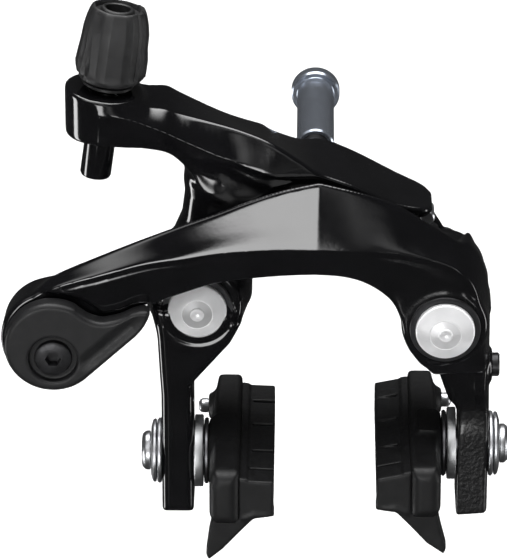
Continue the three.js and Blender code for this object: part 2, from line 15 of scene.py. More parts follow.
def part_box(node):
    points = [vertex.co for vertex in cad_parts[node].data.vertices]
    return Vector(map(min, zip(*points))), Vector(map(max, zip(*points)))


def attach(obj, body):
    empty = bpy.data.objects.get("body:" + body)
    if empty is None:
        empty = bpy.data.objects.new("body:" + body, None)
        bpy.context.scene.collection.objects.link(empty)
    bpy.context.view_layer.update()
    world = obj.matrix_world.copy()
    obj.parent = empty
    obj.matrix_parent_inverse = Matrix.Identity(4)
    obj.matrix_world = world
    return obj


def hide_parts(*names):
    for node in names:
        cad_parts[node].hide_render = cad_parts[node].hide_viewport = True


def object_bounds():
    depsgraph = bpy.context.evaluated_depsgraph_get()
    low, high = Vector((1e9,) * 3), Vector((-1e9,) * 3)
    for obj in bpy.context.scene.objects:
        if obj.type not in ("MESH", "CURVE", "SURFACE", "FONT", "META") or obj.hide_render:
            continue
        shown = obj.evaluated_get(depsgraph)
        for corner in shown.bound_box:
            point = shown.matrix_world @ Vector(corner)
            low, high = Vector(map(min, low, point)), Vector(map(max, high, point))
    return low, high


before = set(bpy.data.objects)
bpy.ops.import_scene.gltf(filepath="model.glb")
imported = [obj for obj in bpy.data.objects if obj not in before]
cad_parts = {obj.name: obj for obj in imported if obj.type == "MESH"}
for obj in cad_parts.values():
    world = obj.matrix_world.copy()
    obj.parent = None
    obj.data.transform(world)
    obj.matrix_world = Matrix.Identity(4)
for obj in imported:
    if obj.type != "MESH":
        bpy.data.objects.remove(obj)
cad_low, cad_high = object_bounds()

MM = 0.001
ROUND = 96  # sides on a turned piece
TAU = 2 * math.pi
FAR = 60  # a cutter's reach where it only has to pass right through


# ---- places taken from the frame
def node_box(node):
    low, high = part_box(node)
    return np.array(low) / MM, np.array(high) / MM


def depths(node):
    """A node's front and rear."""
    low, high = node_box(node)
    return low[1], high[1]


def middle(node):
    low, high = node_box(node)
    return (low + high) / 2


def foot(centre):
    """Where the axis along Y through a point meets the plane of the fork."""
    return centre * (1, 0, 1)


LEFT_PIVOT = middle("left_pivot_bolt")
RIGHT_PIVOT = middle("right_pivot_bolt")
LEVER_AXLE = middle("lever_axle")
CLAMP = middle("cable_clamp_bolt")
LEG_THICK = 6.6
SHOE_Y = middle("left_shoe_bolt")[1]
LEG_BOTTOM = node_box("rear_arm")[0][2]
HUB_REAR = node_box("front_arm")[1][1]


# ---- meshes
def new_object(name, points, faces):
    mesh = bpy.data.meshes.new(name)
    mesh.from_pydata([tuple(MM * float(c) for c in p) for p in points], [], faces)
    mesh.validate()
    tidy = bmesh.new()
    tidy.from_mesh(mesh)
    bmesh.ops.recalc_face_normals(tidy, faces=tidy.faces)
    tidy.to_mesh(mesh)
    tidy.free()
    mesh.polygons.foreach_set("use_smooth", [True] * len(mesh.polygons))
    piece = bpy.data.objects.new(name, mesh)
    bpy.context.scene.collection.objects.link(piece)
    return piece


def apply_modifiers(piece):
    evaluated = piece.evaluated_get(bpy.context.evaluated_depsgraph_get())
    mesh = bpy.data.meshes.new_from_object(evaluated)
    piece.modifiers.clear()
    old = piece.data
    piece.data = mesh
    bpy.data.meshes.remove(old)


def soften(piece, width, angle=30):
    """Rounds the edges of a hard-surface piece that are steeper than the angle."""
    bevel = piece.modifiers.new("bevel", "BEVEL")
    bevel.width = width * MM
    bevel.segments = 3
    bevel.limit_method = "ANGLE"
    bevel.angle_limit = math.radians(angle)
    apply_modifiers(piece)
    sharpen(piece)


def sharpen(piece, angle=38):
    """Shades smooth, with the edges steeper than the angle left sharp."""
    mesh = piece.data
    work = bmesh.new()
    work.from_mesh(mesh)
    limit = math.radians(angle)
    for edge in work.edges:
        edge.smooth = not (edge.is_manifold and edge.calc_face_angle(0) > limit)
    for face in work.faces:
        face.smooth = True
    work.to_mesh(mesh)
    work.free()


def carve(piece, cutter):
    """Takes the cutter out of the piece, and uses it up."""
    boolean = piece.modifiers.new("cut", "BOOLEAN")
    boolean.operation = "DIFFERENCE"
    boolean.solver = "EXACT"
    boolean.object = cutter
    apply_modifiers(piece)
    bpy.data.objects.remove(cutter)
    sharpen(piece)
    return piece


AXES = {
    "x": Matrix.Rotation(-math.pi / 2, 4, "Z"),
    "y": Matrix.Identity(4),
    "z": Matrix.Rotation(math.pi / 2, 4, "X"),
}


def turned(name, profile, axis="y", at=(0, 0, 0), sides=ROUND, lean=0.0):
    """A closed profile of (radius, distance) pairs turned about an axis, then leaned about Y and placed."""
    spin = Matrix.Translation(at) @ Matrix.Rotation(lean, 4, "Y") @ AXES[axis]
    points, faces, rings = [], [], []
    for radius, along in profile:
        if radius < 1e-6:
            rings.append([len(points)])
            points.append(spin @ Vector((0, along, 0)))
            continue
        rings.append(list(range(len(points), len(points) + sides)))
        for i in range(sides):
            turn = TAU * i / sides
            points.append(spin @ Vector((radius * math.cos(turn), along, radius * math.sin(turn))))
    for first, second in zip(rings, rings[1:] + rings[:1]):
        for i in range(sides):
            j = (i + 1) % sides
            corners = (first, i), (first, j), (second, j), (second, i)
            face = list(dict.fromkeys(ring[k % len(ring)] for ring, k in corners))
            if len(face) > 2:
                faces.append(face)
    piece = new_object(name, points, faces)
    sharpen(piece)
    return piece


def skin(rings, around, closed=False):
    """Quads between each ring of points and the next, and from the last to the first if closed."""
    faces = []
    for i in range(rings if closed else rings - 1):
        a, b = i * around, (i + 1) % rings * around
        for j in range(around):
            k = (j + 1) % around
            faces.append([a + j, a + k, b + k, b + j])
    return faces


def prism(name, outline, front, rear, axis="y"):
    """An outline in X and Z given depth along Y, or in Y and Z along X."""
    count = len(outline)
    if axis == "y":
        points = [(a, y, b) for y in (front, rear) for a, b in outline]
    else:
        points = [(x, a, b) for x in (front, rear) for a, b in outline]
    faces = [list(range(count)), list(range(2 * count - 1, count - 1, -1))]
    faces += [[i, (i + 1) % count, count + (i + 1) % count, count + i] for i in range(count)]
    return new_object(name, points, faces)


def hexagon(across, at=(0, 0)):
    """A hexagon by its width across the flats."""
    radius = across / math.sqrt(3)
    turns = [TAU * i / 6 for i in range(6)]
    return [(at[0] + radius * math.cos(t), at[1] + radius * math.sin(t)) for t in turns]


def bevelled(inner, outer, start, end, edge):
    """The profile of a ring, or of a pin where inner is 0, with bevelled outer edges."""
    return [(inner, start), (outer - edge, start), (outer, start + edge),
            (outer, end - edge), (outer - edge, end), (inner, end)]


def arc(centre, radius, start, end, count):
    """Points on a circle between two angles in degrees."""
    turns = np.radians(np.linspace(start, end, count))
    return [(centre[0] + radius * math.cos(t), centre[1] + radius * math.sin(t)) for t in turns]


def bend(start, pull, end, count=8):
    """Points of a quadratic curve after its start."""
    start, pull, end = map(np.array, (start, pull, end))
    steps = np.linspace(0, 1, count + 1)[1:]
    return [tuple((1 - t) ** 2 * start + 2 * t * (1 - t) * pull + t * t * end) for t in steps]


# ---- solid fields, for cast and moulded pieces
class Field:
    """Signed distances in millimetres on a regular grid: negative inside the solid."""

    def __init__(self, low, high, step):
        self.step = step
        self.start = np.floor(np.array(low) / step).astype(int) - 4
        self.end = np.ceil(np.array(high) / step).astype(int) + 5
        self.shape = tuple(int(n) for n in self.end - self.start)
        lines = [np.arange(a, b, dtype=np.float32) * step for a, b in zip(self.start, self.end)]
        self.x = lines[0][:, None, None]
        self.y = lines[1][None, :, None]
        self.z = lines[2][None, None, :]

    def depth(self, flat, along, low, high, edge):
        """Gives a flat field a length along an axis, with its end edges rounded."""
        slab = np.abs(along - (low + high) / 2) - (high - low) / 2
        a, b = np.broadcast_arrays(flat + edge, slab + edge)
        outside = np.sqrt(np.maximum(a, 0) ** 2 + np.maximum(b, 0) ** 2)
        return (np.minimum(np.maximum(a, b), 0) + outside - edge).astype(np.float32)

    def rod_y(self, at, radius, front, rear, edge=0.4):
        flat = np.hypot(self.x - at[0], self.z - at[2]) - radius
        return self.depth(flat, self.y, front, rear, edge)

    def rod_x(self, at, radius, low, high, edge=0.4):
        flat = np.hypot(self.y - at[1], self.z - at[2]) - radius
        return self.depth(flat, self.x, low, high, edge)

    def box(self, low, high, edge=0.4):
        wide = np.abs(self.x - (low[0] + high[0]) / 2) - (high[0] - low[0]) / 2 + edge
        flat = np.maximum(wide, np.abs(self.z - (low[2] + high[2]) / 2) - (high[2] - low[2]) / 2 + edge)
        return self.depth(flat - edge, self.y, low[1], high[1], edge)

    def outline(self, points):
        """The distance from a closed outline in X and Z."""
        a, b = np.broadcast_arrays(self.x, self.z)
        best = np.full(a.shape, 1e9, np.float32)
        inside = np.zeros(a.shape, bool)
        for (ax, az), (bx, bz) in zip(points, points[1:] + points[:1]):
            ex, ez = bx - ax, bz - az
            t = np.clip(((a - ax) * ex + (b - az) * ez) / (ex * ex + ez * ez), 0, 1)
            best = np.minimum(best, np.hypot(a - ax - t * ex, b - az - t * ez))
            if ez != 0:
                crosses = (az > b) != (bz > b)
                inside ^= crosses & (a < ax + (b - az) * ex / ez)
        return np.where(inside, -best, best).astype(np.float32)

    def plate(self, points, front, rear, edge=0.4):
        return self.depth(self.outline(points), self.y, front, rear, edge)

    def loft(self, rings):
        """The distance from a skin over rings of equal point counts, true within a few cells of it."""
        band = 9
        count = len(rings[0])
        points = [p for ring in rings for p in ring]
        triangles = []
        for ring, base, flip in ((rings[0], 0, False), (rings[-1], (len(rings) - 1) * count, True)):
            centre = len(points)
            points.append(tuple(np.mean(np.array(ring), axis=0)))
            for j in range(count):
                a, b = base + j, base + (j + 1) % count
                triangles.append((centre, a, b) if flip else (centre, b, a))
        grid = vdb.FloatGrid.createLevelSetFromPolygons(
            np.array(points, np.float32),
            triangles=np.array(triangles, np.uint32),
            quads=np.array(skin(len(rings), count), np.uint32),
            transform=vdb.createLinearTransform(voxelSize=self.step),
            halfWidth=band,
        )
        values = np.empty(self.shape, np.float32)
        grid.copyToArray(values, ijk=tuple(int(n) for n in self.start))
        return values

    def smooth(self, values, passes):
        for _ in range(passes):
            for axis in range(3):
                ahead = np.roll(values, 1, axis)
                behind = np.roll(values, -1, axis)
                values = (ahead + 2 * values + behind) / 4
        return values

    def mesh(self, name, values, passes=1, rounds=2):
        """A skin at the field's zero, after smoothing of the field and then of the skin."""
        values = self.smooth(np.broadcast_to(values, self.shape).astype(np.float32), passes)
        grid = vdb.FloatGrid(float(values.max()))
        grid.copyFromArray(np.ascontiguousarray(values), ijk=tuple(int(n) for n in self.start))
        grid.transform = vdb.createLinearTransform(voxelSize=self.step)
        points, quads = grid.convertToQuads(isovalue=0.0)
        piece = new_object(name, points.tolist(), quads.tolist())
        relax = piece.modifiers.new("relax", "SMOOTH")
        relax.factor, relax.iterations = 0.5, rounds
        apply_modifiers(piece)
        return piece


def blend(a, b, reach):
    """Joins two fields with a fillet."""
    near = np.maximum(reach - np.abs(a - b), 0) / reach
    return np.minimum(a, b) - near * near * reach / 4


def take(a, b, reach=0.4):
    """Cuts the second field out of the first, with a rounded rim."""
    near = np.maximum(reach - np.abs(a + b), 0) / reach
    return np.maximum(a, -b) + near * near * reach / 4


def spline(stations, steps):
    """Catmull-Rom points through the stations' numbers."""
    rows = np.array(stations, float)
    ends = np.vstack([2 * rows[0] - rows[1], rows, 2 * rows[-1] - rows[-2]])
    out = []
    for a, b, c, d in zip(ends, ends[1:], ends[2:], ends[3:]):
        for t in np.arange(steps) / steps:
            out.append(0.5 * (2 * b + (c - a) * t + (2 * a - 5 * b + 4 * c - d) * t * t
                              + (3 * b - a - 3 * c + d) * t ** 3))
    out.append(rows[-1])
    return out


# ---- materials
def maths(tree, operation, a, b=None):
    """The output of a Math node whose inputs are numbers or other nodes' outputs."""
    node = tree.nodes.new("ShaderNodeMath")
    node.operation = operation
    for socket, value in zip(node.inputs, (a, b)):
        if isinstance(value, (int, float)):
            socket.default_value = value
        elif value is not None:
            tree.links.new(value, socket)
    return node.outputs[0]


def set_inputs(node, **values):
    for name, value in values.items():
        node.inputs[name.replace("_", " ")].default_value = value


class Paint:
    """A Principled material whose detail comes from noise in the object's own space."""

    def __init__(self, name, metallic=0.0, **sockets):
        self.material = bpy.data.materials.new(name)
        self.material.use_nodes = True
        self.tree = self.material.node_tree
        self.nodes, self.links = self.tree.nodes, self.tree.links
        self.shader = self.nodes["Principled BSDF"]
        set_inputs(self.shader, Metallic=metallic, **sockets)
        self.place = self.nodes.new("ShaderNodeTexCoord").outputs["Object"]
        self.normal = None

    def noise(self, size, detail=3.0, rough=0.55):
        """Noise whose features are about the given number of millimetres across."""
        noise = self.nodes.new("ShaderNodeTexNoise")
        set_inputs(noise, Scale=1 / (size * MM), Detail=detail, Roughness=rough)
        self.links.new(self.place, noise.inputs["Vector"])
        return noise.outputs["Fac"]

    def ramp(self, value, low, high, start=0.35, end=0.65):
        """Turns start to end into low to high. The usual ones hold most of a noise's values."""
        ranges = self.nodes.new("ShaderNodeMapRange")
        set_inputs(ranges, From_Min=start, From_Max=end, To_Min=low, To_Max=high)
        self.links.new(value, ranges.inputs["Value"])
        return ranges.outputs["Result"]

    def maths(self, operation, a, b=None):
        return maths(self.tree, operation, a, b)

    def times(self, a, b):
        return self.maths("MULTIPLY", a, b)

    def vary_roughness(self, value, low, high):
        self.links.new(self.ramp(value, low, high), self.shader.inputs["Roughness"])

    def vary_color(self, value, dark, light, start=0.35, end=0.65):
        mix = self.nodes.new("ShaderNodeMix")
        mix.data_type = "RGBA"
        set_inputs(mix, A=(*dark, 1), B=(*light, 1))
        self.links.new(self.ramp(value, 0, 1, start, end), mix.inputs["Factor"])
        self.links.new(mix.outputs["Result"], self.shader.inputs["Base Color"])

    def bump(self, height, depth):
        """Adds a relief whose full height is the given number of millimetres."""
        bump = self.nodes.new("ShaderNodeBump")
        set_inputs(bump, Distance=depth * MM)
        self.links.new(height, bump.inputs["Height"])
        if self.normal is not None:
            self.links.new(self.normal, bump.inputs["Normal"])
        self.normal = bump.outputs["Normal"]
        self.links.new(self.normal, self.shader.inputs["Normal"])
        return self.material

    def axis(self, letter):
        split = self.nodes.new("ShaderNodeSeparateXYZ")
        self.links.new(self.place, split.inputs[0])
        return split.outputs[letter]


def finish(name, dark, light, blotch, rough, patch, grain, depth, metallic=0.0, **sockets):
    """A material in which colour, roughness and relief each follow a noise of their own.

    blotch, patch and grain are the three noises' size in millimetres and detail.
    """
    paint = Paint(name, metallic, **sockets)
    paint.vary_color(paint.noise(*blotch), dark, light)
    paint.vary_roughness(paint.noise(*patch), *rough)
    return paint.bump(paint.noise(*grain), depth)


BLACK_PAINT = (0.003, 0.003, 0.0034), (0.0042, 0.0042, 0.0048)  # darkest and lightest


def cast_black():
    """Gloss black whose right leg keeps the grain of the casting under the paint."""
    paint = Paint("cast_black", Coat_Weight=0.5, Coat_Roughness=0.04)
    below_hub = paint.ramp(paint.axis("Z"), 1, 0.08, -39 * MM, -33 * MM)
    on_right = paint.ramp(paint.axis("X"), 0.1, 1, 0, 20 * MM)
    leg = paint.times(below_hub, on_right)
    grain = paint.noise(0.9, 3, 0.5)
    paint.vary_color(paint.noise(9), *BLACK_PAINT)
    rough = paint.maths("ADD", paint.times(leg, 0.3), paint.ramp(paint.noise(5), 0.08, 0.13))
    paint.links.new(rough, paint.shader.inputs["Roughness"])
    paint.bump(paint.noise(0.9, 1.5), 0.006)
    return paint.bump(paint.times(leg, grain), 0.18)


def turned_alloy(name, at, ring_tone):
    """Bright aluminium with circular tool marks, and a duller ring round its middle."""
    paint = Paint(name, 0.6, Anisotropic=0.85)
    across = paint.maths("SUBTRACT", paint.axis("X"), at[0] * MM)
    up = paint.maths("SUBTRACT", paint.axis("Z"), at[2] * MM)
    square = paint.maths("ADD", paint.times(across, across), paint.times(up, up))
    radius = paint.maths("SQRT", square)
    ring = paint.maths("MAXIMUM", paint.ramp(radius, 1, ring_tone, 1.4 * MM, 1.5 * MM),
                       paint.ramp(radius, ring_tone, 1, 3.05 * MM, 3.15 * MM))
    tone = paint.times(ring, paint.ramp(paint.noise(3, 2), 0.95, 1))
    tangent = paint.nodes.new("ShaderNodeTangent")
    tangent.direction_type, tangent.axis = "RADIAL", "Y"
    paint.links.new(tangent.outputs[0], paint.shader.inputs["Tangent"])
    paint.vary_color(tone, (0, 0, 0), (0.98, 0.98, 0.99), 0, 1)
    paint.vary_roughness(paint.noise(2, 2), 0.38, 0.46)
    pitch, depth = 0.3, 0.0006
    return paint.bump(paint.maths("SINE", paint.times(radius, TAU / (pitch * MM))), depth)


def steel(name, color=(0.66, 0.67, 0.69), rough=(0.32, 0.42), depth=0.0015, metallic=1.0):
    darker = tuple(0.9 * c for c in color)
    return finish(name, darker, color, (2.4, 2), rough, (1.8, 2), (0.3, 2), depth, metallic)


def rubber(name, color, rough, grain, depth, shine=0.5):
    darker, lighter = (tuple(share * c for c in color) for share in (0.75, 1.2))
    return finish(name, darker, lighter, (2.2, 4), (rough - 0.08, rough + 0.08), (1.1, 3),
                  (grain, 3), depth, Specular_IOR_Level=shine)


GLOSS = finish("gloss_black", *BLACK_PAINT, (9,), (0.08, 0.15), (5,), (0.9, 1.5), 0.006,
               Coat_Weight=0.5, Coat_Roughness=0.03)
CAST = cast_black()
SATIN = finish("satin_grey", (0.0075, 0.0075, 0.008), (0.0105, 0.0105, 0.0112), (2.5, 4),
               (0.36, 0.5), (0.35, 2), (0.16, 2), 0.012, Specular_IOR_Level=0.3)
ZINC = steel("zinc_steel")
NUT_STEEL = steel("nut_steel", (0.44, 0.48, 0.55), (0.2, 0.24), 0.0002, 0.88)
DARK_STEEL = steel("dark_steel", (0.2, 0.2, 0.21), (0.34, 0.46))
HOLDER = finish("satin_black", (0.003, 0.003, 0.0033), (0.005, 0.005, 0.0055), (6,),
                (0.45, 0.55), (1.4, 3), (0.5, 3), 0.008, Specular_IOR_Level=0.36)
GRIT_STEEL = steel("grit_steel", (0.7, 0.71, 0.72), (0.38, 0.5), 0.03)
SPRING = steel("spring_steel", (0.3, 0.31, 0.33))
BLACK_STEEL = finish("black_steel", (0.014, 0.014, 0.015), (0.028, 0.028, 0.03), (1.5, 4),
                     (0.28, 0.42), (0.6, 3), (0.2, 3), 0.005, 0.6)
KNOB = rubber("knob_rubber", (0.012, 0.012, 0.0125), 0.5, 0.22, 0.02)
PAD = rubber("pad_rubber", (0.006, 0.006, 0.0064), 0.5, 0.4, 0.012, 0.3)
PLASTIC = rubber("black_plastic", (0.01, 0.01, 0.0105), 0.45, 0.25, 0.01)
BUSH = rubber("bush_plastic", (0.16, 0.11, 0.06), 0.45, 0.3, 0.01)


def stand_for(piece, node, body, material):
    """Puts a finished piece on its body in the place of a CAD node.

    Its one material slot holds the material.
    """
    piece.data.materials.clear()
    piece.data.materials.append(material)
    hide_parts(node)
    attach(piece, body)


def add_turned(node, profile, body, material, at=(0, 0, 0), axis="y",
               cutter=None, slot=None, made="turned", **more):
    """A turned piece in the place of a CAD node. A cutter, if given, is taken out of it."""
    piece = turned(f"{node}_{made}", profile, axis, at, **more)
    if cutter:
        carve(piece, cutter)
    stand_for(piece, node, body, material)


def socket(across, at, start, end, axis="y"):
    """A cutter for a hexagonal socket."""
    return prism("cut", hexagon(across, at), start, end, axis)


# ---- arms
PIVOT_BORE = 5.2
HUB_RADIUS = 9
ARM_REAR = HUB_REAR + 0.5  # nothing of an arm passes this plane, where the bracket is
ARM_GRID = 0.25


def lever_outline(grow=0.0):
    """The release lever seen from the front: a round head and a hooked tail."""
    low = node_box("release_lever")[0]
    radius = 10.0
    head = (low[0] + radius, low[2] + radius)
    points = arc(head, radius + grow, 310, 95, 40)
    for pull, end, count in (
        ((-51.6 + grow, -6.9 + grow), (-49.3 + grow, -8.2 + grow), 6),
        ((-46.6 + grow, -11 + grow), (-43.6, -11.1 + grow), 6),
        ((-40, -10.6 + grow), (-38, -9.2 + grow), 5),
        ((-34 + grow, -7.6 + grow), (-33.9 + grow, -9.4), 6),
        ((-35 + grow, -13 - grow), (-38.1, -15.6 - grow), 5),
    ):
        points += bend(points[-1], pull, end, count)
    return points


def front_arm():
    # Each station: the top edge's x, y and z, the ridge's and the lower edge's, then the rear
    # face's y and the top's fall to the rear, unless they are the usual ones.
    usual = (-30.2, 4.4)
    left = [
        (-57.5, -36.6, -6.5, -57.5, -38.6, -7.6, -57, -37, -14, -29.6, 3.0),
        (-53.5, -36.8, -2.8, -53, -39.4, -4.6, -52, -38, -14, -29.8, 3.6),
        (-44.2, -37.3, 1.9, -44, -40, -1.7, -44.3, -38.6, -13.2),
        (-35.5, -37.5, 5.8, -35, -40.2, 0.9, -34, -38.8, -8.6),
        (-27.3, -37.7, 9.2, -27, -40.1, 2, -27, -39, -5.7),
        (-20.4, -37.9, 11.9, -20, -40.25, 3.2, -20.2, -39.2, -3.3),
        (-13.8, -38, 14.7, -13.6, -40.6, 3.9, -13.6, -39.4, -2.2),
        (-6.8, -38.3, 17.3, -6.8, -41.05, 4.4, -6.6, -39.6, -1.4),
        (0.6, -38.8, 19.3, 0, -41.7, 4.6, 0, -39.8, -1),
    ]
    right = [
        left[-1],
        (7, -38.3, 17.5, 6.6, -41.5, 4.5, 6, -39.6, -1.6),
        (12, -37.6, 15.7, 11.6, -41.2, 4.3, 11, -39.4, -3.4),
        (17, -36.9, 13.4, 17.3, -41, 3.9, 15.6, -39.9, -6.8),
        (23.4, -36.2, 9, 23, -40.9, 2.9, 17.8, -40.4, -11.4),
        (28.4, -35.2, 5.2, 28, -40.8, 1.2, 19.2, -40.5, -17, -29.5, 3.4),
        (30, -34.6, 4.0, 29.6, -40.8, 0.1, 20, -40.5, -18.6, -29, 1.6),
        (31.6, -33.6, 3.4, 31, -40.7, -1.4, 20.9, -40.4, -20, -28.5, -0.4),
        (33, -33.4, 1.6, 32.1, -40.6, -3, 22, -40.2, -21.4, -27.8, 0.6),
        (34.1, -33.2, 0, 32.9, -40.4, -4.6, 22.9, -39.9, -22.2, -27, 2),
        (35.6, -32.6, -5.4, 34.1, -40, -9, 24.4, -39.2, -24.2, -25, 1),
        (36.3, -32, -13, 34.9, -39.3, -15, 25.6, -38.2, -26.4, -23, 0),
        (36.4, -32, -22, 35.3, -38.2, -23, 26.7, -36.4, -29.6, -21, 0),
        (36.5, -32, -30, 35.5, -36, -30.5, 28, -34.6, -33.4, -20.5, 0),
        (36.6, -32.4, -38, 35.7, -33.5, -38, 30, -33.5, -38, -20.5, 0),
        (36.6, -32.4, LEG_BOTTOM, 35.7, -33.5, LEG_BOTTOM, 30, -33.5, LEG_BOTTOM, -20.5, 0),
    ]
    rings = []
    left, right = ([row + usual[len(row) - 9:] for row in rows] for rows in (left, right))
    for row in spline(left, 5)[:-1] + spline(right, 5):
        top, ridge, lower = row[0:3], row[3:6], row[6:9] - (0, 0, 0.3)
        rear, fall = row[9:]
        # The face above the ridge swells a little, and a fine groove runs under the ridge.
        swell = [top + share * (ridge - top) - (0, out, 0)
                 for share, out in ((0.3, 0.02), (0.55, 0.06), (0.72, 0.12), (0.84, 0.15), (0.93, 0.11))]
        groove = [ridge + share * (lower - ridge) * (1, 0, 1) + (0, inset, 0)
                  for share, inset in ((0.06, 0.4), (0.15, 0.15))]
        rings.append([top, *swell, ridge, *groove, lower,
                      (lower[0], rear, lower[2]), (top[0], rear, top[2] - fall)])
    field = Field((-67, -44, -62), (39, -8, 21), ARM_GRID)
    body = field.loft(rings)
    lug_at, lug_radius, lug_front, lug_rear = (-54, 0, -17.2), 11, -38.1, -29.2
    taper = 0.05 * np.maximum(field.y + 37, 0)
    cone = np.hypot(field.x - lug_at[0], field.z - lug_at[2]) - lug_radius + taper
    lug = field.depth(cone, field.y, lug_front, lug_rear, 0.7)
    hub = field.rod_y(RIGHT_PIVOT, HUB_RADIUS, -40.6, HUB_REAR, 1.5)
    shoulder = field.plate([(22.5, 2.4), (27.1, -3.5), (30, -5.6), (34.4, -8.4), (36.4, -12.8),
                            (26.8, -12.8), (18.2, -9), (19.2, -4)], -32, -14.2, 0.8)
    body = blend(body, hub, 0.6)
    body = blend(body, shoulder, 1.4)
    body = blend(body, lug, 1.2)
    # Room for the release lever and its sweep, in front of the lug.
    sweep = field.rod_y(LEVER_AXLE, 13.5, -FAR, lug_front, 0)
    room = np.minimum(field.plate(lever_outline(0.45), -FAR, lug_front, 0), sweep)
    below = field.box((-80, -FAR, -40), (-43, lug_front, -12), 0)
    body = take(body, np.minimum(room, below), 0.5)
    # Room behind the arm for the left hub and its bolt as the arm opens.
    reach = RIGHT_PIVOT[0] - LEFT_PIVOT[0]
    for turn in np.radians(np.linspace(0, 3.9, 6)):
        at = RIGHT_PIVOT + reach * np.array([-math.cos(turn), 0, math.sin(turn)])
        for_hub, for_bolt = field.rod_y(at, 9.6, -34, 0, 0.5), field.rod_y(at, 7.4, -35.9, 0, 0.5)
        body = take(body, np.minimum(for_hub, for_bolt), 0.4)
    # The hollow in the leg under the hub, and the small one inside it.
    body = take(body, field.box((26, -50, -40), (34.6, -33.6, -25.6), 1.6), 2.6)
    body = take(body, field.plate([(23.6, -25), (26.6, -25), (27.4, -30.4)], -50, -35.4, 0.3), 0.4)
    # The bores and the bolt holes.
    body = take(body, field.rod_y(RIGHT_PIVOT, PIVOT_BORE, -FAR, 0, 0), 0.2)
    body = take(body, field.rod_y(LEVER_AXLE, 2.6, -FAR, 0, 0), 0.2)
    body = take(body, shoe_slot(field, 33.3), 0.3)
    screw = middle("centring_screw")
    body = take(body, field.rod_x(screw, 1.7, 25, 50, 0), 0.2)
    collar = np.maximum(field.rod_x(screw, 3.6, 33, 37.1, 0.4), -field.rod_x(screw, 1.8, 20, FAR, 0))
    body = blend(body, collar, 0.8)
    body = np.maximum(body, field.y - ARM_REAR)
    return field.mesh("front_arm_cast", body, 3, 6)


def shoe_slot(field, x):
    """The long hole that lets a shoe's bolt be set higher or lower."""
    top, bottom, radius, half = -39, -51, 3.2, 8
    near = np.clip(field.z, bottom, top)
    flat = np.hypot(field.y - SHOE_Y, field.z - near) - radius
    return field.depth(flat, field.x, x - half, x + half, 0)


# The cable adjuster's foot, and how far its top leans to the right.
ADJUST = np.array([-43.6, -25.0, 28.2])
LEAN = math.radians(7.9)


